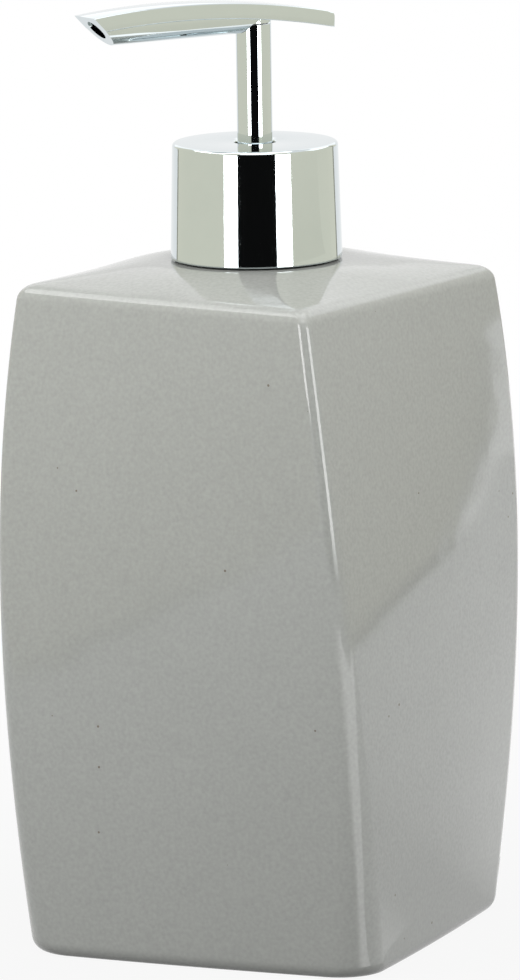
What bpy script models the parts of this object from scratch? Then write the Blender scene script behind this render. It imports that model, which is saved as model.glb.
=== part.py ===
"""Soap dispenser: a twisted square ceramic bottle with a screw-on lotion pump.

Metres, +Z up. The origin is the centre of the base, on the surface it stands on.
The base square is in line with X and Y, and its front side faces -Y.
"""

import math

import bmesh
import bpy
from mathutils import Matrix, Vector

# Bottle: sizes across the flats are between the sharp corners of the square
BASE_SIDE = 0.0741
SHOULDER_SIDE = 0.0688
SHOULDER_HEIGHT = 0.13165
BELLY = 0.00323
BELLY_RISE_SHARE = 0.13
BASE_BOW = 0.00085
SHOULDER_BOW = 0.00045
BASE_CORNER = 0.0086
SHOULDER_CORNER = 0.0022
BASE_INSET = 0.0017
BASE_RISE = 0.0028
SHOULDER_FILLET = 0.0034
DOME_RISE = 0.00405
LAND_MARGIN = 0.0015
DOME_SLOPE = math.radians(20)
DOME_POWER = 1.85
CORNER_POWER = 1.02
BOTTLE_WALL = 0.0050
BOTTLE_FLOOR = 0.0060
FLOOR_FILLET = 0.0028
MOUTH_DEPTH = 0.0055
FOOT_WIDTH = 0.0040
FOOT_RECESS = 0.0008
TWIST = math.radians(-11.7)
TWIST_BOW = math.radians(1.7)

# Gaps: between pieces that touch, and where one must pass another
SEAT_GAP = 0.0003
PASSING_GAP = 0.0004

# Collar and closure
COLLAR_HEIGHT = 0.0229
COLLAR_FLARE = 0.0006
COLLAR_LIFT = 0.0004
COLLAR_WALL = 0.0008
COLLAR_EDGE = 0.0007
STEM_WINDOW = 0.0006
CLOSURE_TOP = 0.0016
CLOSURE_WALL = 0.0012
CLOSURE_CLEAR = 0.0004
BEAD_WIDTH = 0.0011

# Threads
THREAD_PITCH = 0.00423
THREAD_DEPTH = 0.0011
THREAD_CREST = 0.0010
THREAD_ROOT = 0.0022
MALE_TURNS = 1.25
FEMALE_TURNS = 1.0
THREAD_TOP_MARGIN = 0.0012
THREAD_BITE = 0.0003

# Neck insert, sealant and gasket
NECK_CLEAR = 0.0029
NECK_WALL = 0.0028
PLUG_WALL = 0.0018
PLUG_LENGTH = 0.0084
INSERT_FLANGE = 0.0012
INSERT_FLANGE_REACH = 0.0027
BONDING_THICKNESS = 0.0006
BONDING_WIDTH = 0.0028
GASKET_THICKNESS = 0.0013

# Stem, guide and cylinder
STEM_RADIUS = 0.0035
STEM_WALL = 0.0006
STEM_SHOW = 0.0217
GUIDE_WALL = 0.0016
GUIDE_LENGTH = 0.0100
GUIDE_HEAD = 0.0015
GUIDE_HEAD_REACH = 0.0005
WIPER_DEPTH = 0.0009
WIPER_WIDTH = 0.0012
HOUSING_WALL = 0.0013
HOUSING_FLANGE = 0.0017
FLANGE_INSET = 0.0008
VENT_RADIUS = 0.0006
VENT_BELOW_GUIDE = 0.0040

# Piston, rod and spring
PUMP_STROKE = 0.0160
PISTON_HEIGHT = 0.0081
PISTON_LIP = 0.0014
PISTON_WAIST = 0.0006
ROD_WALL = 0.0013
ROD_HEAD = 0.0016
ROD_HEAD_INSET = 0.0013
ROD_LENGTH = 0.0270
SPRING_WIRE_RADIUS = 0.00045
SPRING_INSET = 0.0011
SPRING_SQUEEZED = 0.0179
SPRING_TURNS = 9
SPRING_END_PITCH = 0.0014

# Valves and dip tube
INLET_BALL_RADIUS = 0.0024
INLET_BALL_PLAY = 0.0006
INLET_BALL_LIFT = 0.0015
CAGE_FLANGE = 0.0012
CAGE_PLUG = 0.0020
CAGE_BORE = 0.0013
CAGE_SLOT = 0.0010
THROAT_RADIUS = 0.0014
THROAT_LENGTH = 0.0025
OUTLET_CHAMBER_WALL = 0.0006
OUTLET_BALL_PLAY = 0.00045
OUTLET_BALL_LIFT = 0.0012
LINER_WALL = 0.0011
LINER_SLOT = 0.0010
DIP_RADIUS = 0.0030
DIP_WALL = 0.0008
DIP_SOCKET_WALL = 0.0016
DIP_SOCKET_DEPTH = 0.0100
DIP_CLEARANCE = 0.0030
LEG_TAPER = 0.0040

# Spout, measured from the stem's axis along its length
SPOUT_REACH = 0.0391
SPOUT_TAIL = 0.0169
SPOUT_WIDTH = 0.0075
BLADE_THICKNESS = 0.0031
BLADE_RADIUS = 0.1750
BLADE_APEX = 0.0200
SPOUT_HEIGHT = 0.0070
KEEL_SINK_SHARE = 0.75
BLADE_EDGE = 0.0003
TAIL_EDGE = 0.0009
OUTLET_BORE = 0.00175
BORE_FLOOR = 0.00145
SPOUT_ANGLE = math.radians(-124.4)

# Smoothness of round shapes
SIDE_STEPS = 6
CORNER_STEPS = 6
FINE_STEPS = 64
ROUND_STEPS = 40
SMALL_STEPS = 28
FILLET_STEPS = 4
WALL_LEVELS = 12
DOME_LEVELS = 6
CUT_OVERRUN = 0.0020
SMOOTH_ANGLE = math.radians(32)

# Heights, from the floor up
LAND_HEIGHT = SHOULDER_HEIGHT + DOME_RISE
COLLAR_BOTTOM = LAND_HEIGHT + COLLAR_LIFT
COLLAR_TOP = COLLAR_BOTTOM + COLLAR_HEIGHT
CLOSURE_TOP_HEIGHT = COLLAR_TOP - COLLAR_WALL - SEAT_GAP
CLOSURE_CEILING = CLOSURE_TOP_HEIGHT - CLOSURE_TOP
FLANGE_TOP = CLOSURE_CEILING - SEAT_GAP
FLANGE_BOTTOM = FLANGE_TOP - HOUSING_FLANGE
GASKET_TOP = FLANGE_BOTTOM - SEAT_GAP
GASKET_BOTTOM = GASKET_TOP - GASKET_THICKNESS
NECK_TOP = GASKET_BOTTOM - SEAT_GAP
BONDING_BOTTOM = LAND_HEIGHT + SEAT_GAP
BONDING_TOP = BONDING_BOTTOM + BONDING_THICKNESS
INSERT_FLANGE_BOTTOM = BONDING_TOP + SEAT_GAP
INSERT_FLANGE_TOP = INSERT_FLANGE_BOTTOM + INSERT_FLANGE
CLOSURE_BOTTOM = INSERT_FLANGE_TOP + PASSING_GAP
GUIDE_HEAD_BOTTOM = FLANGE_TOP + SEAT_GAP
GUIDE_HEAD_TOP = GUIDE_HEAD_BOTTOM + GUIDE_HEAD
GUIDE_BOTTOM = GUIDE_HEAD_BOTTOM - GUIDE_LENGTH
STEM_BOTTOM = GUIDE_BOTTOM
PISTON_TOP = STEM_BOTTOM - SEAT_GAP
PISTON_BOTTOM = PISTON_TOP - PISTON_HEIGHT
ROD_HEAD_TOP = PISTON_BOTTOM - SEAT_GAP
ROD_BOTTOM = ROD_HEAD_TOP - ROD_HEAD
ROD_TOP = ROD_BOTTOM + ROD_LENGTH
SPRING_TOP = ROD_BOTTOM - SEAT_GAP
SPRING_BOTTOM = SPRING_TOP - PUMP_STROKE - SPRING_SQUEEZED
CAGE_TOP = SPRING_BOTTOM - SEAT_GAP
CAGE_FLANGE_BOTTOM = CAGE_TOP - CAGE_FLANGE
CYLINDER_BOTTOM = CAGE_FLANGE_BOTTOM - SEAT_GAP
CAGE_PLUG_BOTTOM = CAGE_FLANGE_BOTTOM - CAGE_PLUG
INLET_BALL_HEIGHT = CAGE_PLUG_BOTTOM - SEAT_GAP - INLET_BALL_LIFT - INLET_BALL_RADIUS
KEEL_BOTTOM = COLLAR_TOP + STEM_SHOW
SPOUT_TOP = KEEL_BOTTOM + SPOUT_HEIGHT

# Radii, from the stem outwards to the collar, and inwards to the rod
STEM_BORE = STEM_RADIUS - STEM_WALL
GUIDE_BORE = STEM_RADIUS + SEAT_GAP
GUIDE_RADIUS = GUIDE_BORE + GUIDE_WALL
CYLINDER_BORE = GUIDE_RADIUS + SEAT_GAP
HOUSING_RADIUS = CYLINDER_BORE + HOUSING_WALL
GUIDE_HEAD_RADIUS = HOUSING_RADIUS + GUIDE_HEAD_REACH
CLOSURE_HOLE = GUIDE_HEAD_RADIUS + CLOSURE_CLEAR
NECK_BORE = HOUSING_RADIUS + NECK_CLEAR
NECK_RADIUS = NECK_BORE + NECK_WALL
PLUG_RADIUS = NECK_BORE + PLUG_WALL
MOUTH_RADIUS = PLUG_RADIUS + SEAT_GAP
INSERT_FLANGE_RADIUS = NECK_RADIUS + INSERT_FLANGE_REACH
INNER_CREST = NECK_RADIUS + SEAT_GAP
CLOSURE_BORE = INNER_CREST + THREAD_DEPTH
FLANGE_RADIUS = CLOSURE_BORE - FLANGE_INSET
CLOSURE_TOP_RADIUS = CLOSURE_BORE + CLOSURE_WALL
COLLAR_TOP_RADIUS = CLOSURE_TOP_RADIUS + SEAT_GAP + COLLAR_WALL
COLLAR_BOTTOM_RADIUS = COLLAR_TOP_RADIUS + COLLAR_FLARE
LAND_RADIUS = COLLAR_BOTTOM_RADIUS + LAND_MARGIN
PISTON_RADIUS = CYLINDER_BORE - SEAT_GAP
ROD_RADIUS = STEM_BORE - SEAT_GAP
ROD_BORE = ROD_RADIUS - ROD_WALL
OUTLET_CHAMBER = ROD_RADIUS - OUTLET_CHAMBER_WALL
OUTLET_BALL_RADIUS = OUTLET_CHAMBER - OUTLET_BALL_PLAY
INLET_CHAMBER = INLET_BALL_RADIUS + INLET_BALL_PLAY
DIP_SOCKET_BORE = DIP_RADIUS + SEAT_GAP
DIP_SOCKET_RADIUS = DIP_SOCKET_BORE + DIP_SOCKET_WALL
LINER_BORE = ROD_RADIUS - LINER_WALL
SPRING_RADIUS = CYLINDER_BORE - SPRING_INSET - SPRING_WIRE_RADIUS

# A ball on a 45 degree seat stands this many times its reach above the seat's point
SEAT_FACTOR = math.sqrt(2)
INLET_SEAT_POINT = INLET_BALL_HEIGHT - SEAT_FACTOR * (INLET_BALL_RADIUS + SEAT_GAP)
THROAT_TOP = INLET_SEAT_POINT + THROAT_RADIUS
DIP_SOCKET_TOP = THROAT_TOP - THROAT_LENGTH
HOUSING_BOTTOM = DIP_SOCKET_TOP - DIP_SOCKET_DEPTH
OUTLET_BALL_HEIGHT = ROD_TOP - OUTLET_BALL_LIFT - OUTLET_BALL_RADIUS
OUTLET_SEAT_POINT = OUTLET_BALL_HEIGHT - SEAT_FACTOR * (OUTLET_BALL_RADIUS + SEAT_GAP)
LINER_BOTTOM = ROD_TOP + SEAT_GAP


def clear_scene():
    for obj in list(bpy.data.objects):
        bpy.data.objects.remove(obj, do_unlink=True)


def finish(name, colour, roughness, metallic=0.0):
    """A plain material for one kind of surface."""
    made = bpy.data.materials.new(name)
    made.use_nodes = True
    shader = made.node_tree.nodes["Principled BSDF"]
    shader.inputs["Base Color"].default_value = (*colour, 1.0)
    shader.inputs["Roughness"].default_value = roughness
    shader.inputs["Metallic"].default_value = metallic
    return made


def empty(name, height=0.0, parent=None, turn=0.0):
    """A joint's frame on the pump's axis."""
    made = bpy.data.objects.new(name, None)
    bpy.context.collection.objects.link(made)
    made.parent = parent
    made.location.z = height
    made.rotation_euler.z = turn
    return made


def world_height(obj):
    """Height of an empty above the floor, through its parents."""
    total = 0
    while obj:
        total += obj.location.z
        obj = obj.parent
    return total


def place(name, body, material, parent=None, base=0.0):
    """An object from a bmesh, with its origin on the pump's axis at height base."""
    bmesh.ops.recalc_face_normals(body, faces=body.faces)
    if body.calc_volume(signed=True) < 0:
        bmesh.ops.reverse_faces(body, faces=body.faces)
    mesh = bpy.data.meshes.new(name)
    body.to_mesh(mesh)
    body.free()
    mesh.shade_smooth()
    mesh.set_sharp_from_angle(angle=SMOOTH_ANGLE)
    if material:
        mesh.materials.append(material)
    made = bpy.data.objects.new(name, mesh)
    bpy.context.collection.objects.link(made)
    made.parent = parent
    made.location.z = base
    return made


def loft(body, rings, closed):
    """Quads between rings of equally many points; closed joins the last ring to the first."""
    pairs = list(zip(rings, rings[1:]))
    if closed:
        pairs.append((rings[-1], rings[0]))
    for lower, upper in pairs:
        if len(lower) == 1 or len(upper) == 1:
            fan(body, lower, upper)
            continue
        count = len(lower)
        for i in range(count):
            following = (i + 1) % count
            body.faces.new((lower[i], lower[following], upper[following], upper[i]))


def fan(body, lower, upper):
    """Triangles from a ring to the single point on the axis beside it."""
    point, ring = (lower[0], upper) if len(lower) == 1 else (upper[0], lower)
    for i in range(len(ring)):
        body.faces.new((ring[i], ring[(i + 1) % len(ring)], point))


def turned(name, outline, material, parent, steps=SMALL_STEPS):
    """A round piece from its (radius, height) outline; heights are above the floor."""
    base = min(height for _, height in outline)
    body = bmesh.new()
    rings = []
    for radius, height in outline:
        if radius == 0:
            rings.append([body.verts.new((0, 0, height - base))])
            continue
        angles = [math.tau * i / steps for i in range(steps)]
        ring = [
            body.verts.new((radius * math.cos(a), radius * math.sin(a), height - base))
            for a in angles
        ]
        rings.append(ring)
    on_axis = outline[0][0] == 0 or outline[-1][0] == 0
    loft(body, rings, closed=not on_axis)
    return place(name, body, material, parent, base - world_height(parent))


def arc(centre, radius, start, stop, steps):
    """Points along an arc, angles in radians from the radial direction."""
    points = []
    for i in range(steps + 1):
        angle = start + (stop - start) * i / steps
        x = centre[0] + radius * math.cos(angle)
        points.append((x, centre[1] + radius * math.sin(angle)))
    return points


def tool(body, name):
    """A hidden helper for a Boolean."""
    made = place(name, body, None)
    made.hide_render = True
    made.display_type = "WIRE"
    return made


def apply_tool(target, helper, operation):
    modifier = target.modifiers.new(helper.name, "BOOLEAN")
    modifier.operation = operation
    modifier.object = helper
    modifier.solver = "EXACT"
    helper.parent = target.parent


def rod_tool(name, radius, start, stop, steps=SMALL_STEPS):
    """A cylinder between two points, to cut with."""
    start, stop = Vector(start), Vector(stop)
    way = stop - start
    body = bmesh.new()
    bmesh.ops.create_cone(
        body, cap_ends=True, segments=steps, radius1=radius, radius2=radius, depth=way.length
    )
    turn = way.to_track_quat("Z", "Y").to_matrix().to_4x4()
    bmesh.ops.transform(
        body, matrix=Matrix.Translation((start + stop) / 2) @ turn, verts=body.verts
    )
    return tool(body, name)


def block_tool(name, low, high, matrix=Matrix()):
    """A box between two corners, to cut with."""
    low, high = Vector(low), Vector(high)
    body = bmesh.new()
    bmesh.ops.create_cube(body, size=1)
    bmesh.ops.scale(body, vec=high - low, verts=body.verts)
    bmesh.ops.translate(body, vec=(low + high) / 2, verts=body.verts)
    bmesh.ops.transform(body, matrix=matrix, verts=body.verts)
    return tool(body, name)


def ridge_tool(name, root, crest, first_height, turns):
    """One helical thread ridge between two radii; its ends run out to nothing."""
    steps = int(ROUND_STEPS * turns)
    body = bmesh.new()
    rings = []
    for i in range(steps + 1):
        angle = math.tau * turns * i / steps
        height = first_height + THREAD_PITCH * angle / math.tau
        run_out = min(1, (i + 1) / FILLET_STEPS, (steps - i + 1) / FILLET_STEPS)
        tip = root + (crest - root) * run_out
        section = (
            (root, -THREAD_ROOT / 2),
            (tip, -THREAD_CREST / 2),
            (tip, THREAD_CREST / 2),
            (root, THREAD_ROOT / 2),
        )
        rings.append([
            body.verts.new((r * math.cos(angle), r * math.sin(angle), height + z))
            for r, z in section
        ])
    loft(body, rings, closed=False)
    body.faces.new(rings[0])
    body.faces.new(reversed(rings[-1]))
    return tool(body, name)


def side_half(height):
    """Half the bottle's side at a height, between sharp corners, with the belly."""
    share = height / SHOULDER_HEIGHT
    straight = (BASE_SIDE + (SHOULDER_SIDE - BASE_SIDE) * share) / 2
    lean = 1 + BELLY_RISE_SHARE * (2 * share - 1)
    return straight + 4 * BELLY * lean * share * (1 - share)


def side_turn(height):
    """How far the square has turned at a height."""
    share = min(1, height / SHOULDER_HEIGHT)
    return TWIST * share + TWIST_BOW * share * (1 - share)


def side_bow(height):
    """How far the middle of a side stands out from a straight line between sharp corners."""
    return BASE_BOW + (SHOULDER_BOW - BASE_BOW) * min(1, height / SHOULDER_HEIGHT)


def side_corner(height):
    """Radius of the upright corners, largest at the base."""
    share = min(1, height / SHOULDER_HEIGHT)
    return SHOULDER_CORNER + (BASE_CORNER - SHOULDER_CORNER) * (1 - share) ** 2


def square_points(half, corner, height):
    """One level of the bottle: four slightly bowed sides and four round corners."""
    bow = side_bow(height)
    turn = side_turn(height)
    side_radius = (half * half + bow * bow) / (2 * bow)
    back = side_radius - half - bow
    reach = side_radius - corner
    middle = (math.sqrt(2 * reach * reach - back * back) - back) / 2
    swing = math.atan2(middle, middle + back)
    points = []
    for quarter in range(4):
        way = Matrix.Rotation(turn + quarter * math.pi / 2, 2)
        side = arc((-back, 0), side_radius, -swing, swing, SIDE_STEPS)
        round_corner = arc((middle, middle), corner, swing, math.pi / 2 - swing, CORNER_STEPS)
        points += [way @ Vector(point) for point in side + round_corner[1:-1]]
    return points


def circle_points(radius, turn):
    """As many points on a circle as a square level has, in line with them."""
    count = 4 * (SIDE_STEPS + CORNER_STEPS)
    first = turn - math.tau * SIDE_STEPS / 2 / count
    angles = [first + math.tau * i / count for i in range(count)]
    return [Vector((radius * math.cos(a), radius * math.sin(a))) for a in angles]


def shoulder_points():
    """(half side, height) round the top edge, tangent to the side and to the dome."""
    top = side_half(SHOULDER_HEIGHT)
    lean = math.atan2(side_half(SHOULDER_HEIGHT - SHOULDER_FILLET) - top, SHOULDER_FILLET)
    bend = math.pi / 2 - lean - DOME_SLOPE
    back = SHOULDER_FILLET * math.tan(bend / 2)
    start = (top + back * math.sin(lean), SHOULDER_HEIGHT - back * math.cos(lean))
    centre = (
        start[0] - SHOULDER_FILLET * math.cos(lean),
        start[1] - SHOULDER_FILLET * math.sin(lean),
    )
    return arc(centre, SHOULDER_FILLET, lean, lean + bend, FILLET_STEPS)


def at_height(points, height):
    return [Vector((x, y, height)) for x, y in points]


def dome_levels(edge, edge_height):
    """Levels from the top edge up to the land: a cushion that is straighter to its corners."""
    land = circle_points(LAND_RADIUS, TWIST)
    reaches = [(outer - inner).length for outer, inner in zip(edge, land)]
    shortest, longest = min(reaches), max(reaches)
    levels = []
    for i in range(1, DOME_LEVELS + 1):
        away = 1 - i / DOME_LEVELS
        level = []
        for outer, inner, reach in zip(edge, land, reaches):
            corner_share = (reach - shortest) / (longest - shortest)
            power = DOME_POWER + (CORNER_POWER - DOME_POWER) * corner_share
            x, y = inner.lerp(outer, away)
            drop = (LAND_HEIGHT - edge_height) * away ** power
            level.append(Vector((x, y, LAND_HEIGHT - drop)))
        levels.append(level)
    return levels


def bottle_outside():
    """Levels of points from the foot's inner edge up to the mouth's rim."""
    levels = []
    foot = side_half(0) - BASE_INSET - FOOT_WIDTH
    foot_corner = max(SHOULDER_CORNER, BASE_CORNER - FOOT_WIDTH)
    levels.append(at_height(square_points(foot - FOOT_RECESS, foot_corner, 0), FOOT_RECESS))
    levels.append(at_height(square_points(foot, foot_corner, 0), 0))
    shoulder = shoulder_points()
    for i in range(FILLET_STEPS):
        angle = math.pi / 2 * i / FILLET_STEPS
        height = BASE_RISE * (1 - math.cos(angle))
        half = side_half(height) - BASE_INSET * (1 - math.sin(angle))
        levels.append(at_height(square_points(half, side_corner(height), height), height))
    wall_top = shoulder[0][1]
    for i in range(WALL_LEVELS):
        height = BASE_RISE + (wall_top - BASE_RISE) * i / WALL_LEVELS
        points = square_points(side_half(height), side_corner(height), height)
        levels.append(at_height(points, height))
    for half, height in shoulder:
        edge = square_points(half, side_corner(height), height)
        levels.append(at_height(edge, height))
    levels += dome_levels(edge, height)
    levels.append(at_height(circle_points(MOUTH_RADIUS, TWIST), LAND_HEIGHT))
    return levels


def bottle_inside():
    """Levels of points from the mouth's lower edge down to the floor."""
    mouth = circle_points(MOUTH_RADIUS, TWIST)
    top = SHOULDER_HEIGHT - BOTTLE_WALL
    eave_half = side_half(top) - BOTTLE_WALL - SHOULDER_FILLET
    eave = square_points(eave_half, side_corner(top), top)
    mouth_height = LAND_HEIGHT - MOUTH_DEPTH
    levels = [at_height(mouth, mouth_height)]
    for i in range(1, FILLET_STEPS):
        share = i / (FILLET_STEPS - 1)
        ring = [inner.lerp(outer, share) for inner, outer in zip(mouth, eave)]
        height = mouth_height + (top - mouth_height) * share ** DOME_POWER
        levels.append(at_height(ring, height))
    wall_top = top - SHOULDER_FILLET
    wall_bottom = BOTTLE_FLOOR + FLOOR_FILLET
    count = WALL_LEVELS // 2
    for i in range(count + 1):
        height = wall_top + (wall_bottom - wall_top) * i / count
        half = side_half(height) - BOTTLE_WALL
        levels.append(at_height(square_points(half, side_corner(height), height), height))
    floor_half = side_half(BOTTLE_FLOOR) - BOTTLE_WALL - FLOOR_FILLET
    floor_ring = square_points(floor_half, side_corner(BOTTLE_FLOOR), BOTTLE_FLOOR)
    levels.append(at_height(floor_ring, BOTTLE_FLOOR))
    return levels


def make_bottle(material, parent):
    body = bmesh.new()
    rings = []
    for level in bottle_outside() + bottle_inside():
        rings.append([body.verts.new(point) for point in level])
    loft(body, rings, closed=False)
    body.faces.new(reversed(rings[0]))
    body.faces.new(rings[-1])
    place("bottle_body", body, material, parent)


def make_neck_insert(material, parent):
    outline = [
        (NECK_BORE, NECK_TOP),
        (NECK_BORE, INSERT_FLANGE_BOTTOM - PLUG_LENGTH),
        (PLUG_RADIUS, INSERT_FLANGE_BOTTOM - PLUG_LENGTH),
        (PLUG_RADIUS, INSERT_FLANGE_BOTTOM),
        (INSERT_FLANGE_RADIUS, INSERT_FLANGE_BOTTOM),
        (INSERT_FLANGE_RADIUS, INSERT_FLANGE_TOP),
        (NECK_RADIUS, INSERT_FLANGE_TOP),
        (NECK_RADIUS, NECK_TOP),
    ]
    made = turned("neck_insert", outline, material, parent, ROUND_STEPS)
    top_turn = NECK_TOP - THREAD_TOP_MARGIN - THREAD_ROOT / 2
    first = top_turn - MALE_TURNS * THREAD_PITCH
    crest = NECK_RADIUS + THREAD_DEPTH
    ridge = ridge_tool("male_ridge", NECK_RADIUS - THREAD_BITE, crest, first, MALE_TURNS)
    apply_tool(made, ridge, "UNION")
    return first


def make_bonding_ring(material, parent):
    inner = INSERT_FLANGE_RADIUS - BONDING_WIDTH
    outline = [
        (inner, BONDING_TOP),
        (inner, BONDING_BOTTOM),
        (INSERT_FLANGE_RADIUS, BONDING_BOTTOM),
        (INSERT_FLANGE_RADIUS, BONDING_TOP),
    ]
    turned("bonding_ring", outline, material, parent, ROUND_STEPS)


def make_gasket(material, parent):
    inner = HOUSING_RADIUS + SEAT_GAP
    outer = NECK_RADIUS - SEAT_GAP
    outline = [
        (inner, GASKET_TOP),
        (inner, GASKET_BOTTOM),
        (outer, GASKET_BOTTOM),
        (outer, GASKET_TOP),
    ]
    turned("neck_gasket", outline, material, parent)


def make_collar_shell(material, parent):
    edge_centre = (COLLAR_TOP_RADIUS - COLLAR_EDGE, COLLAR_TOP - COLLAR_EDGE)
    hole = STEM_RADIUS + STEM_WINDOW
    lip = COLLAR_EDGE / 2
    outline = [
        (COLLAR_BOTTOM_RADIUS - COLLAR_WALL, COLLAR_BOTTOM),
        (COLLAR_BOTTOM_RADIUS, COLLAR_BOTTOM),
        *arc(edge_centre, COLLAR_EDGE, 0, math.pi / 2, FILLET_STEPS),
        (hole + lip, COLLAR_TOP),
        (hole, COLLAR_TOP - lip),
        (hole, COLLAR_TOP - COLLAR_WALL),
        (COLLAR_TOP_RADIUS - COLLAR_WALL - COLLAR_EDGE, COLLAR_TOP - COLLAR_WALL),
        (COLLAR_TOP_RADIUS - COLLAR_WALL, COLLAR_TOP - COLLAR_WALL - COLLAR_EDGE),
    ]
    turned("collar_shell", outline, material, parent, FINE_STEPS)


def make_closure(material, parent, first_male):
    shell_slope = (COLLAR_BOTTOM_RADIUS - COLLAR_TOP_RADIUS) / COLLAR_HEIGHT
    bottom_radius = CLOSURE_TOP_RADIUS + shell_slope * (CLOSURE_TOP_HEIGHT - CLOSURE_BOTTOM)
    corner_top = CLOSURE_TOP_HEIGHT - COLLAR_EDGE
    bead_top = FLANGE_BOTTOM - SEAT_GAP
    bead_depth = CLOSURE_BORE - INNER_CREST
    outline = [
        (CLOSURE_HOLE, CLOSURE_TOP_HEIGHT),
        (CLOSURE_HOLE, CLOSURE_CEILING),
        (CLOSURE_BORE, CLOSURE_CEILING),
        (CLOSURE_BORE, bead_top),
        (INNER_CREST, bead_top - bead_depth / 2),
        (INNER_CREST, bead_top - BEAD_WIDTH / 2),
        (CLOSURE_BORE, bead_top - BEAD_WIDTH),
        (CLOSURE_BORE, CLOSURE_BOTTOM),
        (bottom_radius, CLOSURE_BOTTOM),
        (CLOSURE_TOP_RADIUS, corner_top),
        (CLOSURE_TOP_RADIUS - COLLAR_EDGE, CLOSURE_TOP_HEIGHT),
    ]
    made = turned("inner_closure", outline, material, parent, ROUND_STEPS)
    below = (THREAD_CREST + THREAD_ROOT) / 2 + SEAT_GAP
    ridge = ridge_tool(
        "female_ridge",
        CLOSURE_BORE + THREAD_BITE,
        INNER_CREST,
        first_male - below - world_height(parent),
        FEMALE_TURNS,
    )
    apply_tool(made, ridge, "UNION")


def make_housing(material, parent):
    leg_top = CYLINDER_BOTTOM
    outline = [
        (CYLINDER_BORE, FLANGE_TOP),
        (CYLINDER_BORE, CYLINDER_BOTTOM),
        (INLET_CHAMBER, CYLINDER_BOTTOM),
        (INLET_CHAMBER, INLET_SEAT_POINT + INLET_CHAMBER),
        (THROAT_RADIUS, THROAT_TOP),
        (THROAT_RADIUS, DIP_SOCKET_TOP),
        (DIP_SOCKET_BORE, DIP_SOCKET_TOP),
        (DIP_SOCKET_BORE, HOUSING_BOTTOM),
        (DIP_SOCKET_RADIUS, HOUSING_BOTTOM),
        (DIP_SOCKET_RADIUS, leg_top - LEG_TAPER),
        (HOUSING_RADIUS, leg_top),
        (HOUSING_RADIUS, FLANGE_BOTTOM),
        (FLANGE_RADIUS, FLANGE_BOTTOM),
        (FLANGE_RADIUS, FLANGE_TOP),
    ]
    made = turned("pump_housing", outline, material, parent, ROUND_STEPS)
    vent_height = GUIDE_BOTTOM - VENT_BELOW_GUIDE - world_height(parent)
    vent = rod_tool(
        "vent_cutter",
        VENT_RADIUS,
        (0, 0, vent_height),
        (HOUSING_RADIUS + CUT_OVERRUN, 0, vent_height),
        SMALL_STEPS // 2,
    )
    apply_tool(made, vent, "DIFFERENCE")


def make_retainer(material, parent):
    seat = GUIDE_HEAD_TOP - WIPER_DEPTH
    pocket = GUIDE_BORE + WIPER_WIDTH + SEAT_GAP
    outline = [
        (pocket, GUIDE_HEAD_TOP),
        (pocket, seat),
        (GUIDE_BORE, seat),
        (GUIDE_BORE, GUIDE_BOTTOM),
        (GUIDE_RADIUS, GUIDE_BOTTOM),
        (GUIDE_RADIUS, GUIDE_HEAD_BOTTOM),
        (GUIDE_HEAD_RADIUS, GUIDE_HEAD_BOTTOM),
        (GUIDE_HEAD_RADIUS, GUIDE_HEAD_TOP),
    ]
    turned("housing_retainer", outline, material, parent)


def make_wiper(material, parent):
    bottom = GUIDE_HEAD_TOP - WIPER_DEPTH + SEAT_GAP
    outline = [
        (GUIDE_BORE, GUIDE_HEAD_TOP),
        (GUIDE_BORE, bottom),
        (GUIDE_BORE + WIPER_WIDTH, bottom),
        (GUIDE_BORE + WIPER_WIDTH / 2, GUIDE_HEAD_TOP),
    ]
    turned("stem_wiper", outline, material, parent)


def make_cage(material, parent):
    plug = INLET_CHAMBER - SEAT_GAP
    outline = [
        (CAGE_BORE, CAGE_TOP),
        (CAGE_BORE, CAGE_PLUG_BOTTOM),
        (plug, CAGE_PLUG_BOTTOM),
        (plug, CAGE_FLANGE_BOTTOM),
        (CYLINDER_BORE - SEAT_GAP, CAGE_FLANGE_BOTTOM),
        (CYLINDER_BORE - SEAT_GAP, CAGE_TOP),
    ]
    made = turned("ball_cage", outline, material, parent)
    bottom = CAGE_PLUG_BOTTOM - world_height(parent)
    half = CAGE_SLOT / 2
    reach = plug + CUT_OVERRUN
    slot = block_tool(
        "cage_slot", (-reach, -half, bottom - CUT_OVERRUN), (reach, half, bottom + CAGE_SLOT)
    )
    apply_tool(made, slot, "DIFFERENCE")


def make_ball(name, radius, height, material, parent):
    body = bmesh.new()
    rows = SMALL_STEPS // 3
    bmesh.ops.create_uvsphere(body, u_segments=2 * rows, v_segments=rows, radius=radius)
    place(name, body, material, parent, height - world_height(parent))


def make_spring(material, parent):
    """A round wire coil with one closer turn at each end."""
    per_turn = SMALL_STEPS // 2
    sides = 6
    low = SPRING_BOTTOM + SPRING_WIRE_RADIUS
    high = SPRING_TOP - SPRING_WIRE_RADIUS
    inner_pitch = (high - low - 2 * SPRING_END_PITCH) / (SPRING_TURNS - 2)
    body = bmesh.new()
    rings = []
    for i in range(SPRING_TURNS * per_turn + 1):
        turn = i / per_turn
        ends = min(turn, 1) + max(0, turn - SPRING_TURNS + 1)
        height = low + ends * SPRING_END_PITCH + (turn - ends) * inner_pitch
        angle = math.tau * turn
        out = Vector((math.cos(angle), math.sin(angle), 0))
        centre = SPRING_RADIUS * out + Vector((0, 0, height - SPRING_BOTTOM))
        ring = []
        for k in range(sides):
            around = math.tau * k / sides
            offset = math.cos(around) * out + Vector((0, 0, math.sin(around)))
            ring.append(body.verts.new(centre + SPRING_WIRE_RADIUS * offset))
        rings.append(ring)
    loft(body, rings, closed=False)
    body.faces.new(rings[0])
    body.faces.new(reversed(rings[-1]))
    place("return_spring", body, material, parent, SPRING_BOTTOM - world_height(parent))


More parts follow.
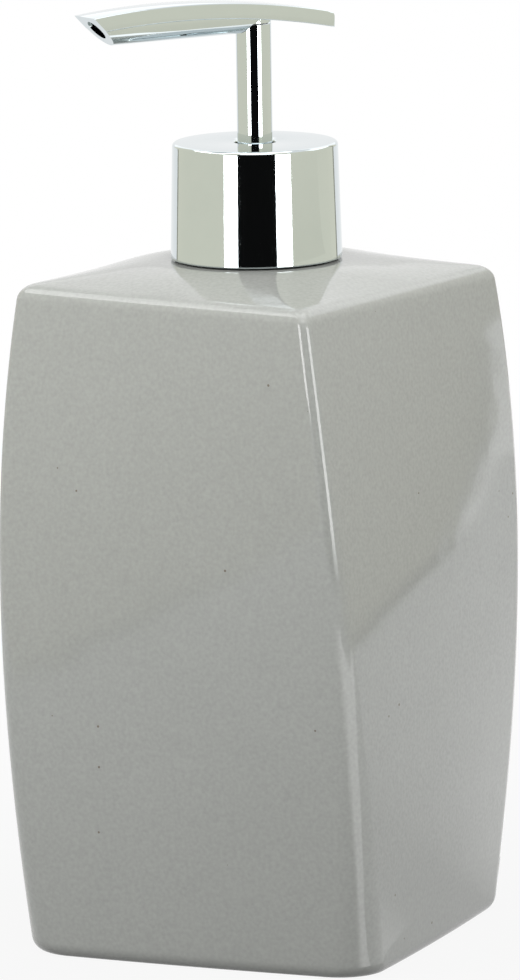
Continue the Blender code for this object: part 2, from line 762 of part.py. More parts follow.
def make_piston(material, parent):
    waist = PISTON_RADIUS - PISTON_WAIST
    bore = ROD_RADIUS + SEAT_GAP
    outline = [
        (bore, PISTON_TOP),
        (bore, PISTON_BOTTOM),
        (waist, PISTON_BOTTOM),
        (PISTON_RADIUS, PISTON_BOTTOM + PISTON_LIP / 2),
        (PISTON_RADIUS, PISTON_BOTTOM + PISTON_LIP),
        (waist, PISTON_BOTTOM + 2 * PISTON_LIP),
        (waist, PISTON_TOP - 2 * PISTON_LIP),
        (PISTON_RADIUS, PISTON_TOP - PISTON_LIP),
        (PISTON_RADIUS, PISTON_TOP - PISTON_LIP / 2),
        (waist, PISTON_TOP),
    ]
    turned("piston_seal", outline, material, parent)


def make_rod(material, parent):
    head = CYLINDER_BORE - ROD_HEAD_INSET
    outline = [
        (OUTLET_CHAMBER, ROD_TOP),
        (OUTLET_CHAMBER, OUTLET_SEAT_POINT + OUTLET_CHAMBER),
        (ROD_BORE, OUTLET_SEAT_POINT + ROD_BORE),
        (ROD_BORE, ROD_BOTTOM),
        (head, ROD_BOTTOM),
        (head, ROD_HEAD_TOP),
        (ROD_RADIUS, ROD_HEAD_TOP),
        (ROD_RADIUS, ROD_TOP),
    ]
    turned("piston_rod", outline, material, parent)


def blade_height(along):
    """Height of the blade's top at a distance from the stem's axis towards the outlet."""
    out = along - BLADE_APEX
    return SPOUT_TOP - BLADE_RADIUS + math.sqrt(BLADE_RADIUS ** 2 - out ** 2)


STEM_TOP = blade_height(-STEM_RADIUS) - BLADE_THICKNESS - 2 * SEAT_GAP
BORE_HEIGHT = KEEL_BOTTOM + BORE_FLOOR + OUTLET_BORE


def make_stem(material, parent):
    outline = [
        (STEM_BORE, STEM_TOP),
        (STEM_BORE, STEM_BOTTOM),
        (STEM_RADIUS, STEM_BOTTOM),
        (STEM_RADIUS, STEM_TOP),
    ]
    turned("stem_tube", outline, material, parent, ROUND_STEPS)


def make_liner(material, parent):
    outline = [
        (LINER_BORE, STEM_TOP),
        (LINER_BORE, LINER_BOTTOM),
        (ROD_RADIUS, LINER_BOTTOM),
        (ROD_RADIUS, STEM_TOP),
    ]
    made = turned("flow_liner", outline, material, parent)
    bottom = LINER_BOTTOM - world_height(parent)
    half = LINER_SLOT / 2
    reach = ROD_RADIUS + CUT_OVERRUN
    slot = block_tool(
        "liner_slot", (-reach, -half, bottom - CUT_OVERRUN), (reach, half, bottom + LINER_SLOT)
    )
    apply_tool(made, slot, "DIFFERENCE")


def blade_body(base):
    """The arched blade as a flat bar bent along its length, outlet towards +X."""
    steps = FINE_STEPS // 3
    start = -SPOUT_TAIL
    stop = SPOUT_REACH + CUT_OVERRUN
    corner = arc(
        (start + TAIL_EDGE, blade_height(start) - TAIL_EDGE),
        TAIL_EDGE,
        math.pi,
        math.pi / 2,
        FILLET_STEPS,
    )
    outline = list(corner)
    for i in range(1, steps + 1):
        along = start + TAIL_EDGE + (stop - start - TAIL_EDGE) * i / steps
        outline.append((along, blade_height(along)))
    for i in range(steps, -1, -1):
        along = start + (stop - start) * i / steps
        outline.append((along, blade_height(along) - BLADE_THICKNESS))
    body = bmesh.new()
    half = SPOUT_WIDTH / 2
    near = [body.verts.new((x, -half, z - base)) for x, z in outline]
    far = [body.verts.new((x, half, z - base)) for x, z in outline]
    loft(body, [near, far], closed=False)
    body.faces.new(near)
    body.faces.new(reversed(far))
    bmesh.ops.recalc_face_normals(body, faces=body.faces)
    rims = [edge for edge in body.edges if abs(edge.verts[0].co.y - edge.verts[1].co.y) < half]
    bmesh.ops.bevel(body, geom=rims, offset=BLADE_EDGE, segments=2, affect="EDGES", profile=0.5)
    return body


def keel_tool(base):
    """The half-round spout tube under the blade, from the stem to past the outlet."""
    steps = SMALL_STEPS // 2
    centre = (0, KEEL_BOTTOM + STEM_RADIUS)
    section = arc(centre, STEM_RADIUS, math.pi, math.tau, steps)
    section_top = SPOUT_TOP - BLADE_THICKNESS * KEEL_SINK_SHARE
    section = [(-STEM_RADIUS, section_top), *section, (STEM_RADIUS, section_top)]
    body = bmesh.new()
    start = [body.verts.new((0, y, z - base)) for y, z in section]
    stop = [body.verts.new((SPOUT_REACH, y, z - base)) for y, z in section]
    loft(body, [start, stop], closed=False)
    body.faces.new(start)
    body.faces.new(reversed(stop))
    return tool(body, "keel_tool")


def make_spout(material, parent):
    base = world_height(parent)
    made = place("spout_head", blade_body(base), material, parent)
    apply_tool(made, keel_tool(base), "UNION")
    boss_bottom = STEM_TOP + SEAT_GAP - base
    boss_top = blade_height(0) - BLADE_THICKNESS / 2 - base
    boss = rod_tool("boss_tool", STEM_RADIUS, (0, 0, boss_bottom), (0, 0, boss_top), ROUND_STEPS)
    apply_tool(made, boss, "UNION")
    tip = Vector((SPOUT_REACH, 0, blade_height(SPOUT_REACH) - base))
    slant = Matrix.Translation(tip) @ Matrix.Rotation(math.pi / 4, 4, "Y")
    size = SPOUT_REACH
    end_cut = block_tool("end_cutter", (0, -size, -size), (size, size, size), slant)
    apply_tool(made, end_cut, "DIFFERENCE")
    stem_low = KEEL_BOTTOM - CUT_OVERRUN - base
    stem_room = rod_tool(
        "stem_room", STEM_RADIUS + SEAT_GAP, (0, 0, stem_low), (0, 0, boss_bottom), ROUND_STEPS
    )
    apply_tool(made, stem_room, "DIFFERENCE")
    bore_height = BORE_HEIGHT - base
    upright = rod_tool("riser_cutter", LINER_BORE, (0, 0, stem_low), (0, 0, bore_height))
    apply_tool(made, upright, "DIFFERENCE")
    bore = rod_tool("outlet_cutter", OUTLET_BORE, (0, 0, bore_height), (SPOUT_REACH, 0, bore_height))
    apply_tool(made, bore, "DIFFERENCE")


def make_dip_tube(material, parent):
    bore = DIP_RADIUS - DIP_WALL
    top = DIP_SOCKET_TOP - SEAT_GAP
    bottom = BOTTLE_FLOOR + DIP_CLEARANCE
    outline = [(bore, top), (bore, bottom), (DIP_RADIUS, bottom), (DIP_RADIUS, top)]
    made = turned("dip_tube", outline, material, parent)
    low = bottom - world_height(parent)
    corner = Matrix.Translation((DIP_RADIUS, 0, low)) @ Matrix.Rotation(math.pi / 4, 4, "Y")
    size = 4 * DIP_RADIUS
    slant = block_tool("slant_cutter", (-size, -size, -size), (size, size, 0), corner)
    apply_tool(made, slant, "DIFFERENCE")


def main():
    clear_scene()
    ceramic = finish("grey_glaze", (0.36, 0.37, 0.34), 0.12)
    chrome = finish("chrome", (0.80, 0.82, 0.83), 0.06, 1.0)
    steel = finish("spring_steel", (0.55, 0.55, 0.54), 0.25, 1.0)
    insert_plastic = finish("insert_plastic", (0.72, 0.72, 0.70), 0.40)
    pump_plastic = finish("pump_plastic", (0.82, 0.83, 0.82), 0.35)
    guide_plastic = finish("guide_plastic", (0.30, 0.31, 0.32), 0.35)
    piston_plastic = finish("piston_plastic", (0.66, 0.72, 0.76), 0.45)
    tube_plastic = finish("tube_plastic", (0.78, 0.80, 0.80), 0.30)
    sealant = finish("sealant", (0.60, 0.60, 0.58), 0.60)
    soft_seal = finish("soft_seal", (0.10, 0.10, 0.10), 0.60)

    bottle = empty("bottle_frame")
    pump = empty("pump_lift", LAND_HEIGHT, bottle)
    collar = empty("collar_turn", 0, pump)
    plunger = empty("pump_stroke", 0, pump)
    head = empty("head_swivel", 0, plunger, SPOUT_ANGLE)

    make_bottle(ceramic, bottle)
    make_bonding_ring(sealant, bottle)
    first_male = make_neck_insert(insert_plastic, bottle)
    make_gasket(soft_seal, pump)
    make_housing(pump_plastic, pump)
    make_retainer(guide_plastic, pump)
    make_wiper(soft_seal, pump)
    make_cage(pump_plastic, pump)
    make_spring(steel, pump)
    make_dip_tube(tube_plastic, pump)
    make_ball("inlet_ball", INLET_BALL_RADIUS, INLET_BALL_HEIGHT, steel, pump)
    make_collar_shell(chrome, collar)
    make_closure(insert_plastic, collar, first_male)
    make_piston(piston_plastic, plunger)
    make_rod(pump_plastic, head)
    make_ball("outlet_ball", OUTLET_BALL_RADIUS, OUTLET_BALL_HEIGHT, steel, head)
    make_stem(chrome, head)
    make_liner(tube_plastic, head)
    make_spout(chrome, head)


main()
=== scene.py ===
"""Looks of the soap dispenser: smooth visible pieces, glaze, chrome, studio and camera."""

import math

import bmesh
import bpy
from mathutils import Matrix, Vector


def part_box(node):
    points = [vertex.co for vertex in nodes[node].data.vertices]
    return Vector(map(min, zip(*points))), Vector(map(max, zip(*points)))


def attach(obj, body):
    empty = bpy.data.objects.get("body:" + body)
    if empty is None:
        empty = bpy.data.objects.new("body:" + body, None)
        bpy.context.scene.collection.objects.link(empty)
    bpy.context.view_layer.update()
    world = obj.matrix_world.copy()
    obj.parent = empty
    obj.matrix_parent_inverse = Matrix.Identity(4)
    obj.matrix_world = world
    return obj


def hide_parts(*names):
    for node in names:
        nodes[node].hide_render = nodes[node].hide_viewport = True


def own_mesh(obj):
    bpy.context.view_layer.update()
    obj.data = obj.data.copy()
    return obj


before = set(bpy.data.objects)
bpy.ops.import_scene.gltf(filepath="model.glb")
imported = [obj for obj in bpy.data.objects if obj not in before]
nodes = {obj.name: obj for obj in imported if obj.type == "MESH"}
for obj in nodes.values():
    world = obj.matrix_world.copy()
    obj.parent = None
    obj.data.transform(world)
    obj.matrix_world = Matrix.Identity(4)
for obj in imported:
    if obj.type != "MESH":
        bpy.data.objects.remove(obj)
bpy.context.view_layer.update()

# Bottle sizes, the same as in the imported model
BASE_SIDE = 0.0741
SHOULDER_SIDE = 0.0688
SHOULDER_HEIGHT = 0.13165
LAND_HEIGHT = 0.1357
BELLY = 0.00323
BELLY_LEAN = 0.13
BASE_BOW = 0.00085
SHOULDER_BOW = 0.00045
BASE_CORNER = 0.0086
SHOULDER_CORNER = 0.0022
BASE_INSET = 0.0017
BASE_RISE = 0.0028
FILLET = 0.0034
LAND_RADIUS = 0.0185
DOME_SLOPE = math.radians(20)
WALL = 0.0050
FLOOR = 0.0060
FLOOR_FILLET = 0.0028
MOUTH_RADIUS = 0.0120
MOUTH_DEPTH = 0.0055
FOOT_WIDTH = 0.0040
FOOT_RECESS = 0.0008
TWIST = math.radians(-11.7)
TWIST_BOW = math.radians(1.7)

# Curve of the visible dome, within about 0.2 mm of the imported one
DOME_POWER = 1.93
CORNER_POWER = 3.04

# Smoothness
SIDE_STEPS = 20
CORNER_STEPS = 20
WALL_LEVELS = 110
DOME_LEVELS = 40
FILLET_STEPS = 10
CEILING_LEVELS = 5
INNER_LEVELS = 20
COLLAR_STEPS = 256
COLLAR_EDGE_STEPS = 12
COLLAR_LIP_STEPS = 6
COLLAR_RIM_STEPS = 4
STEM_STEPS = 160
BOSS_STEPS = 96
BORE_STEPS = 64
BLADE_STEPS = 72
BLADE_EDGE_STEPS = 4
TAIL_EDGE_STEPS = 8
KEEL_STEPS = 48
SPRING_TURN_STEPS = 48
SPRING_WIRE_STEPS = 12

# Angles between faces above which an edge stays sharp, in degrees
SHARP = 40
BOTTLE_SHARP = 50
SPOUT_SHARP = 34

# Collar, stem and spout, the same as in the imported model
COLLAR_BOTTOM = 0.1361
COLLAR_TOP = 0.1590
COLLAR_BOTTOM_RADIUS = 0.0170
COLLAR_TOP_RADIUS = 0.0164
COLLAR_WALL = 0.0008
COLLAR_EDGE = 0.0007
COLLAR_HOLE = 0.0041
STEM_RADIUS = 0.0035
STEM_BORE = 0.0029
STEM_BOTTOM = 0.1463
KEEL_BOTTOM = 0.1807
SPOUT_TOP = 0.1877
SPOUT_REACH = 0.0391
SPOUT_TAIL = 0.0169
SPOUT_WIDTH = 0.0075
BLADE_THICKNESS = 0.0031
BLADE_RADIUS = 0.1750
BLADE_APEX = 0.0200
KEEL_SINK = 0.75
BLADE_EDGE = 0.0003
TAIL_EDGE = 0.0009
OUTLET_BORE = 0.00175
BORE_FLOOR = 0.00145
LINER_BORE = 0.0015
SPOUT_ANGLE = math.radians(-124.4)
SEAT_GAP = 0.0003

# Lean of the collar's wall, the rounding of its foot and the places of its levels along the wall,
# close together at the ends to keep the shading straight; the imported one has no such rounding
COLLAR_LEAN = math.radians(1.5)
COLLAR_RIM = 0.00018
COLLAR_WALL_SHARES = (0.012, 0.035, 0.35, 0.65, 0.965, 0.988)

# How far the cutting rods and the uncut blade go past the finished shape
CUT_SPARE = 0.0020

# Return spring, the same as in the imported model
SPRING_WIRE_RADIUS = 0.00045
SPRING_TURNS = 9
SPRING_END_PITCH = 0.0014


# Mesh helpers

def arc(centre, radius, start, stop, steps):
    points = []
    for i in range(steps + 1):
        angle = start + (stop - start) * i / steps
        points.append((centre[0] + radius * math.cos(angle), centre[1] + radius * math.sin(angle)))
    return points


def loft(body, rings, closed=False):
    pairs = list(zip(rings, rings[1:]))
    if closed:
        pairs.append((rings[-1], rings[0]))
    for lower, upper in pairs:
        count = len(lower)
        for i in range(count):
            j = (i + 1) % count
            body.faces.new((lower[i], lower[j], upper[j], upper[i]))


def piece(name, body, sharp=SHARP):
    """A smooth object from a bmesh, with its faces turned outwards."""
    bmesh.ops.recalc_face_normals(body, faces=body.faces)
    if body.calc_volume(signed=True) < 0:
        bmesh.ops.reverse_faces(body, faces=body.faces)
    mesh = bpy.data.meshes.new(name)
    body.to_mesh(mesh)
    body.free()
    mesh.shade_smooth()
    mesh.set_sharp_from_angle(angle=math.radians(sharp))
    made = bpy.data.objects.new(name, mesh)
    bpy.context.scene.collection.objects.link(made)
    return made


def turned(name, outline, steps):
    """A closed ring-shaped piece from its (radius, height) outline."""
    body = bmesh.new()
    rings = []
    for radius, height in outline:
        rings.append([
            body.verts.new((
                radius * math.cos(math.tau * i / steps),
                radius * math.sin(math.tau * i / steps),
                height,
            ))
            for i in range(steps)
        ])
    loft(body, rings, closed=True)
    return piece(name, body)


# Bottle

def side_half(height):
    share = height / SHOULDER_HEIGHT
    straight = (BASE_SIDE + (SHOULDER_SIDE - BASE_SIDE) * share) / 2
    lean = 1 + BELLY_LEAN * (2 * share - 1)
    return straight + 4 * BELLY * lean * share * (1 - share)


def side_place(i):
    """Place from -1 to 1 along a side, closer together towards its corners."""
    return -math.cos(math.pi * i / SIDE_STEPS)


def square_points(half, height, corner=None):
    """Square ring at a height: bowed sides, round corners, turned by the twist."""
    share = min(1, height / SHOULDER_HEIGHT)
    turn = TWIST * share + TWIST_BOW * share * (1 - share)
    bow = BASE_BOW + (SHOULDER_BOW - BASE_BOW) * share
    if corner is None:
        corner = SHOULDER_CORNER + (BASE_CORNER - SHOULDER_CORNER) * (1 - share) ** 2
    side_radius = (half * half + bow * bow) / (2 * bow)
    back = side_radius - half - bow
    reach = side_radius - corner
    middle = (math.sqrt(2 * reach * reach - back * back) - back) / 2
    swing = math.atan2(middle, middle + back)
    points = []
    for quarter in range(4):
        way = Matrix.Rotation(turn + quarter * math.pi / 2, 2)
        side = []
        for i in range(SIDE_STEPS + 1):
            angle = swing * side_place(i)
            side.append((side_radius * math.cos(angle) - back, side_radius * math.sin(angle)))
        bend = arc((middle, middle), corner, swing, math.pi / 2 - swing, CORNER_STEPS)
        points += [(way @ Vector(p)).to_3d() + Vector((0, 0, height)) for p in side + bend[1:-1]]
    return points


def circle_points(radius, height):
    """Circle with one point for each of a square ring's, in the same order."""
    points = []
    for quarter in range(4):
        middle = TWIST + quarter * math.pi / 2
        angles = [middle + math.pi / 8 * side_place(i) for i in range(SIDE_STEPS + 1)]
        for i in range(1, CORNER_STEPS):
            angles.append(middle + math.pi / 8 + math.pi / 4 * i / CORNER_STEPS)
        points += [Vector((radius * math.cos(a), radius * math.sin(a), height)) for a in angles]
    return points


def dome_levels(edge):
    """Levels from the top edge up to the land: a cushion, round inside and square at its edge."""
    land = circle_points(LAND_RADIUS, LAND_HEIGHT)
    reaches = [(outer - inner).xy.length for outer, inner in zip(edge, land)]
    shortest = min(reaches)
    levels = []
    for i in range(1, DOME_LEVELS + 1):
        away = 1 - i / DOME_LEVELS
        level = []
        for outer, inner, reach in zip(edge, land, reaches):
            out = shortest * away + (reach - shortest) * away ** CORNER_POWER
            point = inner.lerp(outer, out / reach)
            point.z = LAND_HEIGHT - (LAND_HEIGHT - outer.z) * away ** DOME_POWER
            level.append(point)
        levels.append(level)
    return levels


def shoulder_points():
    top = side_half(SHOULDER_HEIGHT)
    lean = math.atan2(side_half(SHOULDER_HEIGHT - FILLET) - top, FILLET)
    bend = math.pi / 2 - lean - DOME_SLOPE
    back = FILLET * math.tan(bend / 2)
    start = (top + back * math.sin(lean), SHOULDER_HEIGHT - back * math.cos(lean))
    centre = (start[0] - FILLET * math.cos(lean), start[1] - FILLET * math.sin(lean))
    return arc(centre, FILLET, lean, lean + bend, FILLET_STEPS)


def make_bottle():
    """One closed shell: foot, outer wall, dome, mouth, and the ceiling, wall and floor inside."""
    foot = side_half(0) - BASE_INSET - FOOT_WIDTH
    foot_corner = max(SHOULDER_CORNER, BASE_CORNER - FOOT_WIDTH)
    levels = [square_points(foot - FOOT_RECESS, 0, foot_corner)]
    for point in levels[0]:
        point.z = FOOT_RECESS
    levels.append(square_points(foot, 0, foot_corner))
    for i in range(FILLET_STEPS):
        angle = math.pi / 2 * i / FILLET_STEPS
        height = BASE_RISE * (1 - math.cos(angle))
        half = side_half(height) - BASE_INSET * (1 - math.sin(angle))
        levels.append(square_points(half, height))
    shoulder = shoulder_points()
    wall_top = shoulder[0][1]
    for i in range(WALL_LEVELS):
        height = BASE_RISE + (wall_top - BASE_RISE) * i / WALL_LEVELS
        levels.append(square_points(side_half(height), height))
    for half, height in shoulder:
        levels.append(square_points(half, height))
    levels += dome_levels(levels[-1])
    mouth_height = LAND_HEIGHT - MOUTH_DEPTH
    levels.append(circle_points(MOUTH_RADIUS, LAND_HEIGHT))
    mouth = circle_points(MOUTH_RADIUS, mouth_height)
    levels.append(mouth)
    top = SHOULDER_HEIGHT - WALL
    eave = square_points(side_half(top) - WALL - FILLET, top)
    for i in range(1, CEILING_LEVELS + 1):
        share = i / CEILING_LEVELS
        level = [inner.lerp(outer, share) for inner, outer in zip(mouth, eave)]
        for point in level:
            point.z = mouth_height + (top - mouth_height) * share ** DOME_POWER
        levels.append(level)
    high = top - FILLET
    low = FLOOR + FLOOR_FILLET
    for i in range(INNER_LEVELS + 1):
        height = high + (low - high) * i / INNER_LEVELS
        levels.append(square_points(side_half(height) - WALL, height))
    levels.append(square_points(side_half(FLOOR) - WALL - FLOOR_FILLET, FLOOR))
    body = bmesh.new()
    rings = [[body.verts.new(point) for point in level] for level in levels]
    loft(body, rings)
    body.faces.new(reversed(rings[0]))
    body.faces.new(rings[-1])
    made = piece("bottle_glazed", body, BOTTLE_SHARP)
    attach(made, "bottle")
    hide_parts("bottle_body")
    return made


# Chromed pieces

def make_collar():
    outside = arc(
        (COLLAR_TOP_RADIUS - COLLAR_EDGE, COLLAR_TOP - COLLAR_EDGE),
        COLLAR_EDGE, COLLAR_LEAN, math.pi / 2, COLLAR_EDGE_STEPS,
    )
    lip = COLLAR_EDGE / 2
    rim = COLLAR_RIM
    foot = Vector((COLLAR_BOTTOM_RADIUS, COLLAR_BOTTOM + rim))
    wall = [foot.lerp(Vector(outside[0]), share) for share in COLLAR_WALL_SHARES]
    rim_centre = (COLLAR_BOTTOM_RADIUS - rim, COLLAR_BOTTOM + rim)
    lip_centre = (COLLAR_HOLE + lip, COLLAR_TOP - lip)
    outline = [
        (COLLAR_BOTTOM_RADIUS - COLLAR_WALL, COLLAR_BOTTOM + rim),
        (COLLAR_BOTTOM_RADIUS - COLLAR_WALL + rim, COLLAR_BOTTOM),
        (COLLAR_BOTTOM_RADIUS - rim, COLLAR_BOTTOM),
        *arc(rim_centre, rim, -math.pi / 3, 0, COLLAR_RIM_STEPS),
        *wall,
        *outside,
        *arc(lip_centre, lip, math.pi / 2, math.pi, COLLAR_LIP_STEPS),
        (COLLAR_HOLE, COLLAR_TOP - COLLAR_WALL),
        (COLLAR_TOP_RADIUS - COLLAR_WALL - COLLAR_EDGE, COLLAR_TOP - COLLAR_WALL),
        (COLLAR_TOP_RADIUS - COLLAR_WALL, COLLAR_TOP - COLLAR_WALL - COLLAR_EDGE),
    ]
    made = turned("collar_chromed", outline, COLLAR_STEPS)
    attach(made, "collar")
    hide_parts("collar_shell")
    return made


def blade_height(along):
    """Height of the blade's arched top at a place along the spout."""
    out = along - BLADE_APEX
    return SPOUT_TOP - BLADE_RADIUS + math.sqrt(BLADE_RADIUS ** 2 - out ** 2)


STEM_TOP = blade_height(-STEM_RADIUS) - BLADE_THICKNESS - 2 * SEAT_GAP


def make_stem():
    outline = [
        (STEM_BORE, STEM_TOP),
        (STEM_BORE, STEM_BOTTOM),
        (STEM_RADIUS, STEM_BOTTOM),
        (STEM_RADIUS, STEM_TOP),
    ]
    made = turned("stem_chromed", outline, STEM_STEPS)
    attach(made, "head")
    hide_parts("stem_tube")
    return made


def combine(target, helper, operation):
    """Adds the helper to the target or cuts it away; the helper goes once the mesh is taken."""
    modifier = target.modifiers.new(operation.lower(), "BOOLEAN")
    modifier.operation = operation
    modifier.object = helper
    modifier.solver = "EXACT"
    return helper


def rod(name, radius, start, stop, steps):
    """A round rod between two points, to join on or to cut away."""
    start, stop = Vector(start), Vector(stop)
    body = bmesh.new()
    length = (stop - start).length
    bmesh.ops.create_cone(
        body, cap_ends=True, segments=steps, radius1=radius, radius2=radius, depth=length
    )
    turn = (stop - start).to_track_quat("Z", "Y").to_matrix().to_4x4()
    where = Matrix.Translation((start + stop) / 2) @ turn
    bmesh.ops.transform(body, matrix=where, verts=body.verts)
    return piece(name, body)


def blade_body():
    steps = BLADE_STEPS
    start = -SPOUT_TAIL
    stop = SPOUT_REACH + CUT_SPARE
    tail = (start + TAIL_EDGE, blade_height(start) - TAIL_EDGE)
    outline = arc(tail, TAIL_EDGE, math.pi, math.pi / 2, TAIL_EDGE_STEPS)
    for i in range(1, steps + 1):
        along = start + TAIL_EDGE + (stop - start - TAIL_EDGE) * i / steps
        outline.append((along, blade_height(along)))
    for i in range(steps, -1, -1):
        along = start + (stop - start) * i / steps
        outline.append((along, blade_height(along) - BLADE_THICKNESS))
    body = bmesh.new()
    half = SPOUT_WIDTH / 2
    near = [body.verts.new((x, -half, z)) for x, z in outline]
    far = [body.verts.new((x, half, z)) for x, z in outline]
    loft(body, [near, far])
    body.faces.new(near)
    body.faces.new(reversed(far))
    bmesh.ops.recalc_face_normals(body, faces=body.faces)
    rims = [e for e in body.edges if abs(e.verts[0].co.y - e.verts[1].co.y) < half]
    bmesh.ops.bevel(
        body, geom=rims, offset=BLADE_EDGE, segments=BLADE_EDGE_STEPS, affect="EDGES", profile=0.5
    )
    return piece("spout_chromed", body)


def keel_body():
    centre = (0, KEEL_BOTTOM + STEM_RADIUS)
    section = arc(centre, STEM_RADIUS, math.pi, math.tau, KEEL_STEPS)
    top = SPOUT_TOP - BLADE_THICKNESS * KEEL_SINK
    section = [(-STEM_RADIUS, top), *section, (STEM_RADIUS, top)]
    body = bmesh.new()
    start = [body.verts.new((0, y, z)) for y, z in section]
    stop = [body.verts.new((SPOUT_REACH, y, z)) for y, z in section]
    loft(body, [start, stop])
    body.faces.new(start)
    body.faces.new(reversed(stop))
    return piece("keel", body)


def end_block():
    """Block that cuts the spout's end at a slant."""
    size = SPOUT_REACH
    body = bmesh.new()
    bmesh.ops.create_cube(body, size=1)
    bmesh.ops.scale(body, vec=(size, 2 * size, 2 * size), verts=body.verts)
    bmesh.ops.translate(body, vec=(size / 2, 0, 0), verts=body.verts)
    tip = Vector((SPOUT_REACH, 0, blade_height(SPOUT_REACH)))
    slant = Matrix.Translation(tip) @ Matrix.Rotation(math.pi / 4, 4, "Y")
    bmesh.ops.transform(body, matrix=slant, verts=body.verts)
    return piece("end_block", body)


def make_spout():
    made = blade_body()
    boss_bottom = STEM_TOP + SEAT_GAP
    boss_top = blade_height(0) - BLADE_THICKNESS / 2
    low = (0, 0, KEEL_BOTTOM - CUT_SPARE)
    seat = (0, 0, boss_bottom)
    bore_height = KEEL_BOTTOM + BORE_FLOOR + OUTLET_BORE
    bore_start = (0, 0, bore_height)
    bore_stop = (SPOUT_REACH, 0, bore_height)
    helpers = [
        combine(made, helper, operation)
        for helper, operation in (
            (keel_body(), "UNION"),
            (rod("boss", STEM_RADIUS, seat, (0, 0, boss_top), BOSS_STEPS), "UNION"),
            (end_block(), "DIFFERENCE"),
            (rod("stem_room", STEM_RADIUS + SEAT_GAP, low, seat, BOSS_STEPS), "DIFFERENCE"),
            (rod("riser", LINER_BORE, low, bore_start, BORE_STEPS), "DIFFERENCE"),
            (rod("outlet", OUTLET_BORE, bore_start, bore_stop, BORE_STEPS), "DIFFERENCE"),
        )
    ]
    bpy.context.view_layer.update()
    graph = bpy.context.evaluated_depsgraph_get()
    mesh = bpy.data.meshes.new_from_object(made.evaluated_get(graph))
    made.modifiers.clear()
    made.data = mesh
    for helper in helpers:
        bpy.data.objects.remove(helper, do_unlink=True)
    mesh.transform(Matrix.Rotation(SPOUT_ANGLE, 4, "Z"))
    mesh.shade_smooth()
    mesh.set_sharp_from_angle(angle=math.radians(SPOUT_SHARP))
    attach(made, "head")
    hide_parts("spout_head")
    return made


def make_spring():
    """Round wire coil, one closer turn at each end; the real spring shortens as the pump goes down."""
    box_low, box_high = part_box("return_spring")
    radius = box_high[0] - SPRING_WIRE_RADIUS
    low = box_low[2] + SPRING_WIRE_RADIUS
    high = box_high[2] - SPRING_WIRE_RADIUS
    inner_pitch = (high - low - 2 * SPRING_END_PITCH) / (SPRING_TURNS - 2)
    wire = arc((0, 0), SPRING_WIRE_RADIUS, 0, math.tau, SPRING_WIRE_STEPS)[:-1]
    body = bmesh.new()
    rings = []
    for i in range(SPRING_TURNS * SPRING_TURN_STEPS + 1):
        turn = i / SPRING_TURN_STEPS
        ends = min(turn, 1) + max(0, turn - SPRING_TURNS + 1)
        height = low + ends * SPRING_END_PITCH + (turn - ends) * inner_pitch
        out = Vector((math.cos(math.tau * turn), math.sin(math.tau * turn), 0))
        rings.append([
            body.verts.new((radius + aside) * out + Vector((0, 0, height + up))) for aside, up in wire
        ])
    loft(body, rings)
    body.faces.new(rings[0])
    body.faces.new(reversed(rings[-1]))
    made = piece("spring_coil", body)
    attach(made, "pump")
    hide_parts("return_spring")
    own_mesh(made)
    return made


# Materials

GLAZE_DARK = (0.335, 0.345, 0.325)
GLAZE_LIGHT = (0.395, 0.405, 0.383)
GLAZE_PALE_CLOUD = (0.42, 0.43, 0.40)
GLAZE_DEEP_CLOUD = (0.31, 0.32, 0.297)
GLAZE_CLOUD_SHARE = 0.10
GLAZE_SHINE = 1.52
IRON_SPECK = (0.19, 0.165, 0.135)
SPECK_SCALE = 210.0
SPECK_SIZE = 0.062
SPECKLESS_SHARE = 0.62
CHROME_DARK = (0.625, 0.682, 0.702)
CHROME_LIGHT = (0.64, 0.695, 0.715)
STEEL_DARK = (0.46, 0.46, 0.45)
STEEL_LIGHT = (0.62, 0.62, 0.61)
PLASTIC_SHINE = 1.5
PLASTIC_GRAIN = 1400.0


def material(name):
    made = bpy.data.materials.new(name)
    made.use_nodes = True
    tree = made.node_tree
    return made, tree, tree.nodes["Principled BSDF"]


def add(tree, kind, **values):
    node = tree.nodes.new(kind)
    for key, value in values.items():
        if key in node.inputs:
            node.inputs[key].default_value = value
        else:
            setattr(node, key, value)
    return node


def object_point(tree, scale=(1, 1, 1)):
    where = add(tree, "ShaderNodeTexCoord")
    mapping = add(tree, "ShaderNodeMapping", Scale=scale)
    tree.links.new(where.outputs["Object"], mapping.inputs["Vector"])
    return mapping.outputs["Vector"]


def noise(tree, vector, scale, detail=3.0, rough=0.5):
    node = add(tree, "ShaderNodeTexNoise", Scale=scale, Detail=detail, Roughness=rough)
    tree.links.new(vector, node.inputs["Vector"])
    return node.outputs["Fac"]


def ramp(tree, value, stops):
    node = add(tree, "ShaderNodeValToRGB")
    elements = node.color_ramp.elements
    while len(elements) < len(stops):
        elements.new(0.5)
    for element, (place, colour) in zip(elements, stops):
        element.position = place
        element.color = (*colour, 1)
    tree.links.new(value, node.inputs["Fac"])
    return node.outputs["Color"]


def mix(tree, factor, below, tint):
    """The colour from the socket below with a share of a plain tint over it."""
    node = add(tree, "ShaderNodeMix", data_type="RGBA")
    tree.links.new(factor, node.inputs[0])
    tree.links.new(below, node.inputs[6])
    node.inputs[7].default_value = (*tint, 1)
    return node.outputs[2]


def spread(tree, value, low, high, start=0.0, stop=1.0):
    """Goes from low to high while the value goes from start to stop, and stays there."""
    node = add(tree, "ShaderNodeMapRange")
    node.inputs["From Min"].default_value = start
    node.inputs["From Max"].default_value = stop
    node.inputs["To Min"].default_value = low
    node.inputs["To Max"].default_value = high
    tree.links.new(value, node.inputs["Value"])
    return node.outputs["Result"]


def bump(tree, height, distance, below=None):
    node = add(tree, "ShaderNodeBump", Strength=1.0, Distance=distance)
    tree.links.new(height, node.inputs["Height"])
    if below:
        tree.links.new(below, node.inputs["Normal"])
    return node.outputs["Normal"]


